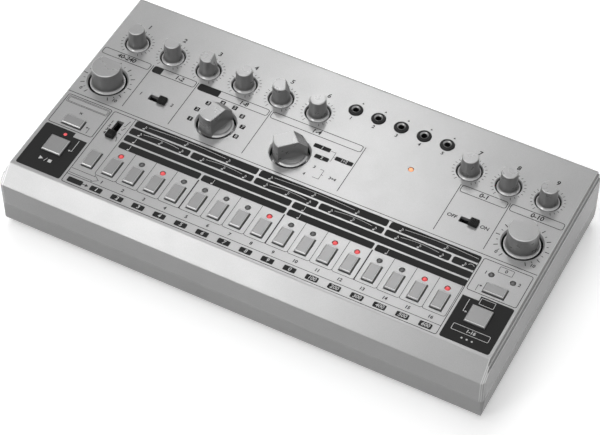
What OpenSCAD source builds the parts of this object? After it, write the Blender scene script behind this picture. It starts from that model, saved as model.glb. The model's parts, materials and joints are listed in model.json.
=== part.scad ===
// Desktop analogue drum machine: moulded two-part case with a level control panel,
// rotary knobs, two pointer selectors, slide switches and a row of sixteen step keys.
// Millimetres. +X to the right, +Y to the rear, +Z up; the feet stand on z = 0 and the
// overall box is centred on the origin.

/* [Case] */
// Width across the seam, the widest place of the case
case_w = 305; // [303:1:307]
// Depth from the front wall to the rear wall
case_d = 159.2; // [158:0.2:162]
// Height of the case without its feet
body_h = 41; // [40:0.5:43]
// Width of the flat control panel
panel_w = 300; // [299:0.5:301]
// Depth and height of the 45 degree front bevel
bevel = 10.2; // [8:0.1:11]
// Wall thickness of both shells
wall = 2.4; // [2:0.1:2.6]
// Height of the seam between the shells above the table
seam_z = 18; // [17:0.5:19]
// How far the lower shell tapers in on each side
taper = 0.9; // [0.5:0.1:1.5]
// Radius of the upright corners
corner_r = 3; // [2:0.5:4]
// Height of the upper step along each side
step_drop_1 = 2.8; // [2:0.1:3.2]
// Height of the lower step along each side
step_drop_2 = 2.4; // [2:0.1:3]
// Width of each ledge between the side steps
ledge = 1; // [0.8:0.1:1.1]

/* [Feet] */
// Height of the case above the table
foot_h = 3; // [2:0.5:4]
// Radius of a rubber foot
foot_r = 6.5; // [5:0.5:8]

/* [Knobs] */
// Height of a small knob above the panel
knob_h = 12; // [11:0.1:14]
// Height of a large knob or a selector above the panel
large_knob_h = 12.3; // [11:0.1:14]
// Radius of a small knob at its top
small_top_r = 4.8; // [4.4:0.1:5]
// Radius of a small knob where it meets its flared lip
small_base_r = 5.45; // [5.2:0.05:5.8]
// Radius of the lip of a small knob
small_lip_r = 6.6; // [6.4:0.05:7]
// Radius of a large knob at its top
large_top_r = 8.65; // [8.4:0.05:9]
// Radius of a large knob where it meets its flared lip
large_base_r = 9.25; // [9:0.05:9.6]
// Radius of the lip of a large knob
large_lip_r = 10.1; // [9.9:0.1:10.8]
// Radius of the panel hole around a small knob
small_hole_r = 7.6; // [7.4:0.1:7.9]
// Radius of the panel hole around a large knob or a selector
large_hole_r = 11.7; // [11.5:0.1:11.8]
// Half width of the bar of a selector knob
bar_half = 4.7; // [4.4:0.05:5.1]
// Radius of a selector's round skirt at the panel
skirt_r = 10.3; // [10:0.1:10.8]

/* [Keys] */
// Distance between two step keys
step_pitch = 13.7; // [13.5:0.1:14]
// Size across of a step key
key_w = 6.8; // [6:0.1:7.4]
// Size from front to rear of a step key
key_d = 12.2; // [11:0.1:12.6]
// Height of a key top above the panel
key_stand = 1.5; // [1:0.1:2.5]
// Gap between a key and its window in the panel
key_gap = 0.45; // [0.3:0.05:0.5]
// How far a key travels
key_travel = 0.6; // [0.3:0.1:0.8]

/* [Sockets] */
// Radius of a 3.5 mm socket's bore
mini_bore_r = 1.8; // [1.78:0.01:1.85]
// Radius of the 6.35 mm socket's bore
jack_bore_r = 3.25; // [3.2:0.01:3.3]
// How far the rear sockets' bushings stand out of the rear wall
rear_reach = 4; // [3:0.5:5]

/* [Hidden] */
knob_pitch = 24.2;
// name, column, direction that the flat faces
small_knobs = [
    ["knob_accent", -132.8, 171], ["knob_bass_drum", -132.8 + knob_pitch, 88],
    ["knob_snare_drum", -132.8 + 2 * knob_pitch, 8], ["knob_toms", -132.8 + 3 * knob_pitch, 155],
    ["knob_cymbal_clap", -132.8 + 4 * knob_pitch, 25], ["knob_hi_hat", -132.8 + 5 * knob_pitch, 117],
    ["knob_distortion", 85, 119], ["knob_tone", 85 + knob_pitch, 94],
    ["knob_level", 85 + 2 * knob_pitch, 62]];
function step_name(i) = str("step_button_", i < 10 ? "0" : "", i);
$fn = 48;
cut = 1; // how far a cutter runs past the faces that it opens

// --- frame: rows are measured from the panel's front edge, columns from its middle ---
top_z = foot_h + body_h;
under_z = top_z - wall;
front_y = -(case_d + rear_reach) / 2;
back_y = front_y + case_d;
edge_y = front_y + bevel;
function row(v) = edge_y + v;

// --- controls ---
knob_row = 114.8;
large_row = 80.2;
slide_row = 80.4;
key_row = 23;
led_row = 32.8;
upper_key_row = 42.7;
end_column = 133;
selector_column = -60.2;
mode_column = -11.8;
tempo_flat = 89;
volume_flat = 117;
instrument_points = 75;
mode_points = 45;
first_step = -95.7;
function step_x(i) = first_step + (i - 1) * step_pitch;
// column, row, width and depth of the function key and the four wide keys
function_key = [first_step - step_pitch, key_row, key_w, key_d];
start_key = [-end_column, 22.6, 12.4, 12.2];
tap_key = [end_column, 22.6, 12.4, 12.2];
clear_key = [-133.4, upper_key_row, 12.6, 6.6];
pattern_key = [133.6, upper_key_row, 12.4, 6.6];
wide_keys = [function_key, start_key, tap_key, clear_key, pattern_key];
step_keys = [for (i = [1:16]) [step_x(i), key_row, key_w, key_d]];
start_led = [-132.8, 32.5];
run_led = [55.1, 100.4];
pattern_leds = [[127.1, 52.2], [139.9, 52.2]];

// --- slide switches: column, row, travel, and the angle of the slide ---
slide_cap = [5.2, 5, 2.4];
slot_w = 4.2;
slide_lift = 0.3;
select_slide = [-99.2, slide_row, 6, 0];
distortion_slide = [100.4, slide_row, 6, 0];
scale_slide = [-109.4, 48.8, 9, 90];
slides = [select_slide, distortion_slide, scale_slide];

// --- boards ---
board_t = 1.6;
board_z = 30;
rear_board_z = 20;
board_half = 139.5;
board_front = 12;
board_back = 121.6;
tab_back = 133.5;
tab_columns = [0, 72.6];
rear_board_rows = [124, 146];
rear_board_columns = [-138, 138];
led_hole_r = 1.75;
pot_h = 6.5;
neck_h = 2.2;
shaft_r = 3;
shaft_gap = 0.05;
tact_h = 3.7;
plunger_r = 1.7;
plunger_gap = 0.08;
plunger_in = 1.2; // how far a key's plunger reaches into its switch

// --- sockets ---
jack_pitch = 14.65;
jack_columns = [for (i = [0:4]) 7 + i * jack_pitch];
jack_row = 126.5;
jack_hole_r = 3.1;
bushing_r = 2.95;
mouth_chamfer = 0.7;
nut_r = 4.4;
nut_h = 0.9;
rear_nut_h = 1.8;
mix_bushing_r = 4.5;
voice_pitch = 14;
voice_columns = [for (i = [0:7]) -voice_pitch * (i + 1)];
mix_column = -127;
midi_columns = [56, 28];
usb_column = 80;
dc_column = 99;
switch_column = 122;
// axis heights: half of each socket's housing above the rear board
rear_board_top = rear_board_z + board_t;
mini_z = rear_board_top + 4.5;
mix_z = rear_board_top + 8;
midi_z = rear_board_top + 9.9;
usb_z = rear_board_top + 5.4;
dc_z = rear_board_top + 6.5;
switch_z = rear_board_top + 6.3;
mix_hole_r = 4.7;
midi_hole_r = 8;
dc_hole_r = 4.6;
in_y = back_y - wall;

// --- screws ---
screw_r = 1.45;
pilot_r = 1.5;
board_screw_r = 1.15;
board_pilot_r = 1.2;
board_hole_r = 1.3;
post_top = 20;
post_r = 3.4;
board_post_r = 3;
case_posts = [for (u = [-143.4, 143.4]) for (v = [4.6, 141]) [u, v], [0, 4.6], [4, 140.4]];
board_posts = [for (u = [-121, -48.1, 36, 121]) for (v = [62.6, 98.6]) [u, v]];
rear_posts = [[-115, 127.4], [-7, 127.4], [66, 127.4], [133, 127.4]];

function arc(c, r, a0, a1, n) =
    [for (i = [0:n]) c + r * [cos(a0 + (a1 - a0) * i / n), sin(a0 + (a1 - a0) * i / n)]];
function both_sides(half) =
    concat(half, [for (i = [len(half) - 1:-1:0]) [-half[i][0], half[i][1]]]);

// ---------------------------------------------------------------- building blocks

module rounded_plan(w, d, r) {
    square([w - 2 * r, d], center = true);
    square([w, d - 2 * r], center = true);
    for (x = [-1, 1]) for (y = [-1, 1]) translate([x * (w / 2 - r), y * (d / 2 - r)]) circle(r);
}

// the solid common to a front view, a side view and a plan
module three_views(front_view, side_view, w, d, r) {
    mid_y = (front_y + back_y) / 2;
    intersection() {
        translate([0, back_y + cut, 0]) rotate([90, 0, 0])
            linear_extrude(case_d + 2 * cut) polygon(front_view);
        translate([-case_w, 0, 0]) rotate([90, 0, 90]) linear_extrude(2 * case_w) polygon(side_view);
        translate([0, mid_y, 0]) linear_extrude(top_z + cut) rounded_plan(w, d, r);
    }
}

module column_at(u, v, z0, z1, r) translate([u, row(v), z0]) cylinder(h = z1 - z0, r = r);

module block_at(u, v, z0, z1, w, d) translate([u - w / 2, row(v) - d / 2, z0]) cube([w, d, z1 - z0]);

module centred_block(w, d, z0, z1) translate([-w / 2, -d / 2, z0]) cube([w, d, z1 - z0]);

// puts a child on the middle of a slide switch, with its travel along X
module on_slide(s) translate([s[0], row(s[1]), 0]) rotate(s[3]) children();

// puts a child on the rear wall, with its +Z pointing out of the wall and its +Y down
module on_rear(u, z) translate([u, back_y, z]) rotate([-90, 0, 0]) children();

// a cylinder along the rear-facing direction, from depth y0 to depth y1
module rear_column(u, z, y0, y1, r) translate([u, y0, z]) rotate([-90, 0, 0]) cylinder(h = y1 - y0, r = r);

// ---------------------------------------------------------------- case

edge = 0.35; // small chamfer that breaks every outer edge
bevel_r = 1; // radius of the two long edges of the front bevel
bevel_t = bevel_r * tan(22.5);
large_chamfer = 0.8;
small_chamfer = 0.5;
back_r = 2;
ledge_z1 = top_z - step_drop_1;
ledge_z2 = ledge_z1 - step_drop_2;
ledge_x1 = panel_w / 2 + ledge;
ledge_x2 = ledge_x1 + ledge;
inner_w = case_w - 2 * wall;
inner_d = case_d - 2 * wall;
inner_r = 1.5;
inner_top_x = panel_w / 2 - wall + 0.2;
inner_step_z = ledge_z2 - wall;
k45 = wall * (sqrt(2) - 1);
bottom_r = 2;

upper_front_view = both_sides([
    [panel_w / 2 - edge, top_z], [panel_w / 2, top_z - edge], [panel_w / 2, ledge_z1],
    [ledge_x1 - edge, ledge_z1], [ledge_x1, ledge_z1 - edge], [ledge_x1, ledge_z2],
    [ledge_x2 - edge, ledge_z2], [ledge_x2, ledge_z2 - edge], [case_w / 2, seam_z]]);
upper_side_view = concat(
    [[front_y, seam_z]],
    arc([front_y + bevel_r, top_z - bevel - bevel_t], bevel_r, 180, 135, 3),
    arc([edge_y + bevel_t, top_z - bevel_r], bevel_r, 135, 90, 3),
    arc([back_y - back_r, top_z - back_r], back_r, 90, 0, 4), [[back_y, seam_z]]);
upper_front_hollow = both_sides([
    [inner_top_x, under_z], [inner_top_x, inner_step_z + ledge * 2],
    [ledge_x2 - wall, inner_step_z], [case_w / 2 - wall, seam_z - cut]]);
upper_side_hollow = [
    [front_y + wall, seam_z - cut], [front_y + wall, top_z - bevel - k45],
    [edge_y + k45, under_z], [back_y - wall, under_z], [back_y - wall, seam_z - cut]];
lower_front_view = both_sides(concat([[case_w / 2, seam_z]],
    arc([case_w / 2 - taper - bottom_r, foot_h + bottom_r], bottom_r, 0, -90, 3)));
lower_side_view = concat(
    [[back_y, seam_z]], arc([back_y - taper - bottom_r, foot_h + bottom_r], bottom_r, 0, -90, 3),
    arc([front_y + taper + bottom_r, foot_h + bottom_r], bottom_r, -90, -180, 3), [[front_y, seam_z]]);
floor_z = foot_h + wall;
lower_front_hollow = both_sides([
    [case_w / 2 - wall, seam_z + cut], [case_w / 2 - taper - wall, floor_z]]);
lower_side_hollow = [
    [front_y + wall, seam_z + cut], [front_y + taper + wall, floor_z],
    [back_y - taper - wall, floor_z], [back_y - wall, seam_z + cut]];

// a hole through the control panel with a chamfered upper edge
module knob_hole(u, v, r, chamfer) {
    column_at(u, v, under_z - cut, top_z + cut, r);
    translate([u, row(v), top_z - chamfer]) cylinder(h = chamfer + 0.01, r1 = r, r2 = r + chamfer);
}

// every window in the control panel
module panel_windows() {
    z0 = under_z - cut;
    z1 = top_z + cut;
    for (k = small_knobs) knob_hole(k[1], knob_row, small_hole_r, small_chamfer);
    for (u = [-end_column, end_column, selector_column, mode_column])
        knob_hole(u, large_row, large_hole_r, large_chamfer);
    for (u = jack_columns) column_at(u, jack_row, z0, z1, jack_hole_r);
    for (i = [1:16]) column_at(step_x(i), led_row, z0, z1, led_hole_r);
    for (p = concat([start_led, run_led], pattern_leds)) column_at(p[0], p[1], z0, z1, led_hole_r);
    for (k = concat(step_keys, wide_keys))
        block_at(k[0], k[1], z0, z1, k[2] + 2 * key_gap, k[3] + 2 * key_gap);
    for (s = slides) on_slide(s) centred_block(s[2] + slide_cap[0], slot_w, z0, z1);
}

// openings of the rear wall for the sockets and the power switch
module rear_windows() {
    y0 = in_y - cut;
    y1 = back_y + cut;
    for (u = voice_columns) rear_column(u, mini_z, y0, y1, jack_hole_r);
    rear_column(mix_column, mix_z, y0, y1, mix_hole_r);
    for (u = midi_columns) rear_column(u, midi_z, y0, y1, midi_hole_r);
    rear_column(dc_column, dc_z, y0, y1, dc_hole_r);
    translate([usb_column - 6.2, y0, usb_z - 5.6]) cube([12.4, y1 - y0, 11.2]);
    translate([switch_column - 9.6, y0, switch_z - 6.6]) cube([19.2, y1 - y0, 13.2]);
}

// ribs and bosses on the inside of the control panel
module panel_bosses() {
    rib_t = 1.2;
    rib_z = under_z - 3;
    z1 = under_z + 0.01;
    for (v = [10.4, 36.6, 65.6, 96]) block_at(0, v, rib_z, z1, 2 * inner_top_x, rib_t);
    for (i = [0:4]) block_at(small_knobs[i][1] + knob_pitch / 2, 112, rib_z, z1, rib_t, 31);
    for (p = board_posts) column_at(p[0], p[1], board_z, z1, board_post_r);
    for (p = case_posts) {
        column_at(p[0], p[1], post_top, z1, post_r);
        block_at(p[0], p[1], post_top + 4, z1, rib_t, 11);
    }
}

module top_shell() color("silver") difference() {
    union() {
        difference() {
            three_views(upper_front_view, upper_side_view, case_w, case_d, corner_r);
            three_views(upper_front_hollow, upper_side_hollow, inner_w, inner_d, inner_r);
        }
        intersection() {
            panel_bosses();
            three_views(upper_front_view, upper_side_view, case_w - 1, case_d - 1, corner_r);
        }
    }
    panel_windows();
    rear_windows();
    for (p = case_posts) column_at(p[0], p[1], post_top - cut, post_top + 14, pilot_r);
    for (p = board_posts) column_at(p[0], p[1], board_z - cut, board_z + 8, board_pilot_r);
}

// plan of the case's inner faces, set in by a margin
module inner_plan(margin) rounded_plan(inner_w - 2 * margin, inner_d - 2 * margin, inner_r);

module bottom_shell() color("silver") {
    lip_gap = 0.15;
    lip_t = 1.2;
    lip_h = 1.8;
    mid_y = (front_y + back_y) / 2;
    difference() {
        union() {
            difference() {
                three_views(lower_front_view, lower_side_view, case_w, case_d, corner_r);
                three_views(lower_front_hollow, lower_side_hollow, inner_w, inner_d, inner_r);
            }
            // tongue that locates the upper shell
            translate([0, mid_y, 0]) difference() {
                union() {
                    translate([0, 0, seam_z - 4]) linear_extrude(4) inner_plan(-0.4);
                    translate([0, 0, seam_z - 1]) linear_extrude(1 + lip_h) inner_plan(lip_gap);
                }
                translate([0, 0, seam_z - 5]) linear_extrude(5 + 2 * lip_h) inner_plan(lip_gap + lip_t);
            }
            for (p = case_posts) column_at(p[0], p[1], foot_h + 0.5, post_top, post_r + 1);
            for (p = rear_posts) column_at(p[0], p[1], foot_h + 0.5, rear_board_z, board_post_r);
            // floor ribs
            for (v = [30, 62, 94]) translate([-130, row(v) - 0.7, floor_z - 0.01]) cube([260, 1.4, 4]);
            for (u = [-90:45:90]) translate([u - 0.7, row(10), floor_z - 0.01]) cube([1.4, 108, 4]);
        }
        for (p = case_posts) {
            column_at(p[0], p[1], foot_h - cut, 15, 3.3);
            column_at(p[0], p[1], foot_h, post_top + cut, screw_r + 0.25);
        }
        for (p = rear_posts) column_at(p[0], p[1], rear_board_z - 9, rear_board_z + cut, board_pilot_r);
        // shallow seats of the feet
        for (p = feet) column_at(p[0], p[1], foot_h - cut, foot_h + foot_seat, foot_r + 0.2);
    }
}

feet = [for (u = [-128, 128]) for (v = [9, 131]) [u, v]];
foot_seat = 0.5;
foot_chamfer = 0.8;

module rubber_feet() color("dimgray") for (p = feet) translate([p[0], row(p[1]), 0]) {
    cylinder(h = foot_chamfer + 0.01, r1 = foot_r - foot_chamfer, r2 = foot_r);
    translate([0, 0, foot_chamfer]) cylinder(h = foot_h + foot_seat - foot_chamfer, r = foot_r);
}

module case_screws() color("dimgray") for (p = case_posts) difference() {
    union() {
        column_at(p[0], p[1], 13, 15, 2.9);
        column_at(p[0], p[1], 15, post_top + 9, screw_r);
    }
    // cross recess
    for (a = [0, 90]) translate([p[0], row(p[1]), 0]) rotate(a) centred_block(3.2, 0.7, 12, 13.9);
}

module board_screws() color("lightgray") {
    head_r = 2.4;
    head_h = 1.6;
    under_board = board_z - board_t;
    for (p = board_posts) {
        column_at(p[0], p[1], under_board - head_h, under_board, head_r);
        column_at(p[0], p[1], under_board, board_z + 6, board_screw_r);
    }
    for (p = rear_posts) {
        column_at(p[0], p[1], rear_board_top, rear_board_top + head_h, head_r);
        column_at(p[0], p[1], rear_board_z - 7, rear_board_top, board_screw_r);
    }
}

// ---------------------------------------------------------------- boards and inner parts

module main_board() color("darkgreen") difference() {
    translate([0, 0, board_z - board_t]) linear_extrude(board_t) {
        translate([-board_half, row(board_front)]) square([2 * board_half, board_back - board_front]);
        translate([tab_columns[0], row(board_back) - cut])
            square([tab_columns[1] - tab_columns[0], tab_back - board_back + cut]);
    }
    for (p = board_posts) column_at(p[0], p[1], board_z - board_t - cut, board_z + cut, board_hole_r);
}

module rear_board() color("darkgreen") difference() {
    translate([rear_board_columns[0], row(rear_board_rows[0]), rear_board_z]) cube([
        rear_board_columns[1] - rear_board_columns[0], rear_board_rows[1] - rear_board_rows[0], board_t]);
    for (p = rear_posts) column_at(p[0], p[1], rear_board_z - cut, rear_board_top + cut, board_hole_r);
    // clearance around the case's rear middle post
    column_at(case_posts[5][0], case_posts[5][1], rear_board_z - cut, rear_board_top + cut, 5);
}

// a potentiometer or rotary switch: square can, round neck, and a bore for its shaft
module shaft_housing(u, v, w, neck_r) difference() {
    union() {
        block_at(u, v, board_z, board_z + pot_h, w, w);
        shaft_neck(u, v, neck_r);
    }
    housing_bore(u, v);
}

module shaft_neck(u, v, r) column_at(u, v, board_z + pot_h - 0.01, board_z + pot_h + neck_h, r);

module housing_bore(u, v)
    column_at(u, v, board_z + 1.5, board_z + pot_h + neck_h + cut, shaft_r + shaft_gap);

module pot_bodies() color("steelblue") {
    for (k = small_knobs) shaft_housing(k[1], knob_row, 9.8, 4.2);
    for (u = [-end_column, end_column]) shaft_housing(u, large_row, 12.5, 4.6);
}

module rotary_switch_bodies() color("dimgray") for (u = [selector_column, mode_column]) difference() {
    union() {
        column_at(u, large_row, board_z, board_z + pot_h, 12);
        shaft_neck(u, large_row, 4.6);
        // solder lugs around the can
        for (a = [0:30:330]) translate([u, row(large_row), board_z]) rotate(a)
            translate([11, -0.8, 0]) cube([2, 1.6, 2]);
    }
    housing_bore(u, large_row);
}

stem = 3.4; // size across of a slide cap's square stem
stem_gap = 0.4;
can_top = under_z - 1;

module slide_switch_bodies() color("silver") for (s = slides) on_slide(s) difference() {
    centred_block(s[2] + stem + 4, 7.2, board_z, can_top);
    centred_block(s[2] + stem + 2 * stem_gap, stem + 2 * stem_gap, board_z + 4, can_top + cut);
}

module tact_switches() color("black") for (k = concat(step_keys, wide_keys)) difference() {
    block_at(k[0], k[1], board_z, board_z + tact_h, 6, 6);
    // deep enough for the key's whole travel
    column_at(k[0], k[1], board_z + tact_h - plunger_in - key_travel - 0.3, board_z + tact_h + cut,
        plunger_r + plunger_gap);
}

// light-emitting diode: domed lens with a collar at its foot, on two legs
module led(u, v) {
    dome_r = 1.5;
    foot_z = board_z + 8;
    dome_z = top_z - 1;
    column_at(u, v, foot_z, foot_z + 1, 1.9);
    column_at(u, v, foot_z, dome_z, dome_r);
    translate([u, row(v), dome_z]) sphere(dome_r);
    for (x = [-0.76, 0.76]) block_at(u + x, v, board_z, foot_z + 0.01, 0.5, 0.5);
}

module step_leds() color("red") for (i = [1:16]) led(step_x(i), led_row);

module panel_leds() color("orange") for (p = concat([start_led, run_led], pattern_leds)) led(p[0], p[1]);

module ribbon_cable() color("lightgray") {
    u = 104;
    half = 8;
    t = 0.9;
    z_top = board_z - board_t;
    z_low = rear_board_top + 0.9;
    bend = [row(119), z_low + 3.9];
    // flat cable that leaves the main board downwards and runs back into the rear board's header
    translate([u - half, 0, 0]) rotate([90, 0, 90]) linear_extrude(2 * half) polygon(concat(
        arc(bend, 3.9, 180, 270, 5),
        [[row(125), z_low], [row(125), z_low + t]],
        arc(bend, 3.9 - t, 270, 180, 5)));
    block_at(u, 115.6, z_top - 3, z_top, 2 * half + 3, 4);
    block_at(u, 126.6, rear_board_top, rear_board_top + 3, 2 * half + 3, 3.6);
}

// ---------------------------------------------------------------- sockets

socket_floor = 1.2; // thickness behind the bore of a socket
socket_gap = 0.2; // between a housing and the inside of the wall

// 3.5 mm socket along +Z: the wall's outer face is at z = 0 and the bushing stands out by reach
module mini_socket(depth, body_d, reach) difference() {
    union() {
        centred_block(9, body_d, -depth, -wall - socket_gap);
        translate([0, 0, -wall - 1]) cylinder(h = wall + 1 + reach, r = bushing_r);
    }
    translate([0, 0, -depth + socket_floor]) cylinder(h = depth + reach, r = mini_bore_r);
    // countersunk mouth
    translate([0, 0, reach - mouth_chamfer])
        cylinder(h = mouth_chamfer + 0.01, r1 = mini_bore_r, r2 = mini_bore_r + mouth_chamfer);
}

module top_jacks() color("black") for (u = jack_columns)
    translate([u, row(jack_row), top_z]) mini_socket(top_z - board_z, 10.5, nut_h + 0.2);

module voice_out_sockets() color("black")
    for (u = voice_columns) on_rear(u, mini_z) mini_socket(14, 9, rear_nut_h + 0.8);

module mix_out_socket() color("black") on_rear(mix_column, mix_z) difference() {
    depth = 24;
    union() {
        centred_block(16, 16, -depth, -wall - socket_gap);
        translate([0, 0, -wall - 1]) cylinder(h = wall + 1 + rear_reach, r = mix_bushing_r);
    }
    translate([0, 0, -depth + socket_floor]) cylinder(h = depth + rear_reach, r = jack_bore_r);
}

// ring nut with a rounded shoulder
module round_nut(r, bore, h) rotate_extrude() polygon([
    [bore, 0], [r, 0], [r, h - 0.6], [r - 0.25, h - 0.25], [r - 0.7, h - 0.05], [r - 1.1, h], [bore, h]]);

module jack_nuts() color("black") {
    for (u = jack_columns) translate([u, row(jack_row), top_z]) round_nut(nut_r, bushing_r, nut_h);
    for (u = voice_columns) on_rear(u, mini_z) round_nut(nut_r, bushing_r, rear_nut_h);
    // hexagon nut of the large socket
    on_rear(mix_column, mix_z) difference() {
        cylinder(h = 2.4, r = 7.4, $fn = 6);
        translate([0, 0, -cut]) cylinder(h = 5, r = mix_bushing_r);
    }
}

module midi_sockets() color("black") for (u = midi_columns) on_rear(u, midi_z) difference() {
    depth = 14;
    reach_in = 9;
    core_sink = 0.6;
    union() {
        centred_block(20, 19.8, -depth, -wall - socket_gap);
        translate([0, 0, -wall - 1]) cylinder(h = wall + 1, r = midi_hole_r - 0.2);
    }
    // ring-shaped slot for the plug's metal sleeve around the contact core, with its keyway on top
    translate([0, 0, -reach_in]) difference() {
        cylinder(h = reach_in + cut, r = 7.2);
        translate([0, 0, -cut]) cylinder(h = reach_in + cut - core_sink, r = 5.9);
    }
    translate([0, -6.3, 0]) centred_block(2.4, 2, -reach_in, cut);
}

module usb_socket() color("silver") on_rear(usb_column, usb_z) difference() {
    depth = 16;
    centred_block(12, 10.8, -depth, 0);
    // opening with two bevelled upper corners, around a tongue
    difference() {
        translate([0, 0, -depth + 5]) linear_extrude(depth)
            polygon(both_sides([[4.25, 3.9], [4.25, -2.5], [3, -3.9]]));
        centred_block(5.7, 3.2, -depth, -1.2);
    }
}

module dc_socket() color("black") on_rear(dc_column, dc_z) {
    depth = 14;
    difference() {
        union() {
            translate([0, 1, 0]) centred_block(9.2, 11, -depth, -wall - socket_gap);
            translate([0, 0, -wall - 1]) cylinder(h = wall + 1, r = dc_hole_r - 0.2);
        }
        translate([0, 0, -depth + 2.5]) cylinder(h = depth, r = 3.1);
    }
    translate([0, 0, -depth + 1.5]) cylinder(h = depth - 2.5, r = 1.05);
}

// rocker switch: frame outside the wall, can inside, rocker on an upright pin
rocker_half = 8;
rocker_h = 9.6;
rocker_lean = 7;
pivot_y = back_y - 2.6;
frame_t = 1.6;
pin_r = 1;

module power_switch_body() color("black") {
    difference() {
        union() {
            on_rear(switch_column, switch_z) centred_block(21.6, 15.2, 0, frame_t);
            on_rear(switch_column, switch_z) centred_block(18.6, 12.6, -13, 0.01);
        }
        on_rear(switch_column, switch_z)
            centred_block(2 * rocker_half + 1, rocker_h + 0.6, -9, frame_t + cut);
    }
    translate([switch_column, pivot_y, switch_z - rocker_h / 2 - 0.5]) cylinder(h = rocker_h + 1, r = pin_r);
}

module power_rocker() color("black")
    translate([switch_column, pivot_y, switch_z - rocker_h / 2]) rotate(rocker_lean) difference() {
        intersection() {
            linear_extrude(rocker_h) polygon([
                [-9, -1], [-2.2, -4], [2.2, -4], [9, -1], [9, 5.3], [3, 4.5], [-3, 4.5], [-9, 5.3]]);
            translate([0, 0, -cut]) cylinder(h = rocker_h + 2 * cut, r = rocker_half + 0.1);
        }
        translate([0, 0, -cut]) cylinder(h = rocker_h + 2 * cut, r = pin_r + 0.05);
    }

// ---------------------------------------------------------------- knobs

shaft_bottom = board_z + 2;
shaft_top = top_z + 8;
// heights from the panel's face
knob_bottom = -1.7;
lip_z = -1; // upper edge of the lip, inside the panel's hole
flare_z = 1; // where the hollow flare runs out into the knob's side
lip_chamfer = 0.3;
flat_slope = 26;
cap_slack = 0.02; // a knob is pushed on its shaft

// hollow flare from the lip up to the side above it, which it meets upright
function flare(side_r, lip_r, z) =
    let (reach = lip_r - side_r, drop = z - lip_z, r = (reach * reach + drop * drop) / (2 * reach))
    arc([side_r + r, z], r, 180 + asin(drop / r), 180, 6);

function lip(r) = [[0, knob_bottom], [r - lip_chamfer, knob_bottom], [r, knob_bottom + lip_chamfer]];

module shaft(u, v) column_at(u, v, shaft_bottom, shaft_top, shaft_r);

module shaft_bore() translate([0, 0, -2 * cut])
    cylinder(h = shaft_top - top_z + 2 * cut + 0.1, r = shaft_r + cap_slack);

// round knob: tapered body, hollow flared lip sunk into the panel, and a slanted pointer flat
module round_knob(u, v, h, top_r, base_r, lip_r, flat, flat_dist) {
    translate([u, row(v), top_z]) difference() {
        rotate_extrude() polygon(concat(lip(lip_r), flare(base_r, lip_r, flare_z), [
            [top_r + 0.03, h - 0.55], [top_r - 0.12, h - 0.16], [top_r - 0.5, h], [0, h]]));
        rotate(flat) translate([flat_dist, -lip_r, h]) rotate([0, -flat_slope, 0])
            translate([0, 0, -7.5]) cube([lip_r, 2 * lip_r, 12]);
        shaft_bore();
        if (base_r > 8) hub_hollow(base_r - 1.6);
    }
    shaft(u, v);
}

// hollow underside of a large knob, around its hub
module hub_hollow(r) {
    hub_r = 4.6;
    roof_z = 4.5;
    rotate_extrude() polygon([
        [hub_r, knob_bottom - cut], [r, knob_bottom - cut], [r - 0.3, roof_z], [hub_r, roof_z]]);
}

// pointer selector: a bar with a sloping nose on a low round shoulder
module selector(u, v, points) {
    h = large_knob_h;
    shoulder_z = 0.8;
    rim_r = skirt_r - 1.2;
    rim_z = 0.4;
    top_r = skirt_r - 0.6;
    nose_start = 3.4;
    nose_slope = 1.02;
    nose_tip = skirt_r + cut;
    draft = 0.35;
    translate([u, row(v), top_z]) rotate(points) difference() {
        union() {
            rotate_extrude() polygon(concat(lip(skirt_r), flare(rim_r, skirt_r, rim_z), [
                [bar_half + 2, shoulder_z], [0, shoulder_z]]));
            intersection() {
                rotate_extrude() polygon([
                    [0, lip_z], [skirt_r, lip_z], [top_r, h - 0.4], [top_r - 0.4, h], [0, h]]);
                // bar with a little draft on its long sides
                rotate([90, 0, 90]) translate([0, 0, -skirt_r]) linear_extrude(2 * skirt_r)
                    polygon(both_sides([
                        [bar_half + draft, lip_z], [bar_half, h - 0.25], [bar_half - 0.25, h]]));
                // flat top that ends in the sloping nose
                translate([0, skirt_r, 0]) rotate([90, 0, 0]) linear_extrude(2 * skirt_r) polygon([
                    [-skirt_r, lip_z], [nose_tip, lip_z],
                    [nose_tip, h - (nose_tip - nose_start) * nose_slope],
                    [nose_start, h], [-skirt_r, h]]);
            }
        }
        shaft_bore();
    }
    shaft(u, v);
}

module large_knob(u, flat) color("silver")
    round_knob(u, large_row, large_knob_h, large_top_r, large_base_r, large_lip_r, flat, 6);

module tempo_knob() large_knob(-end_column, tempo_flat);

module volume_knob() large_knob(end_column, volume_flat);

module small_knob(k) color("silver")
    round_knob(k[1], knob_row, knob_h, small_top_r, small_base_r, small_lip_r, k[2], 2.6);

module instrument_selector() color("silver") selector(selector_column, large_row, instrument_points);

module mode_selector() color("silver") selector(mode_column, large_row, mode_points);

// ---------------------------------------------------------------- sliders and keys

// slide cap with finger ribs, at the end of its slot given by side (-1 or 1)
module slider(s, side) color("black") on_slide(s) translate([side * s[2] / 2, 0, 0]) {
    cap_z = top_z + slide_lift;
    w = slide_cap[0];
    d = slide_cap[1];
    h = slide_cap[2];
    groove_pitch = 0.8;
    groove_w = 0.4;
    translate([0, 0, cap_z]) difference() {
        intersection() {
            translate([0, d / 2, 0]) rotate([90, 0, 0]) linear_extrude(d) domed_side(w / 2, h, 1.1);
            translate([-w / 2, 0, 0]) rotate([90, 0, 90]) linear_extrude(w) domed_side(d / 2, h, 0.8);
        }
        for (i = [-1.5:1.5]) translate([i * groove_pitch, 0, 0])
            centred_block(groove_w, 2 * d, h - 0.5, h + cut);
    }
    centred_block(stem, stem, board_z + 4.6, cap_z + 0.1);
}

// side view of a cap whose upper edges are rounded off by r in two slopes
module domed_side(half, h, r)
    polygon(both_sides([[half, 0], [half, h - r], [half - 0.3 * r, h - 0.4 * r], [half - r, h]]));

module select_slider() slider(select_slide, 1);

module scale_slider() slider(scale_slide, -1);

module distortion_slider() slider(distortion_slide, 1);

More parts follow.
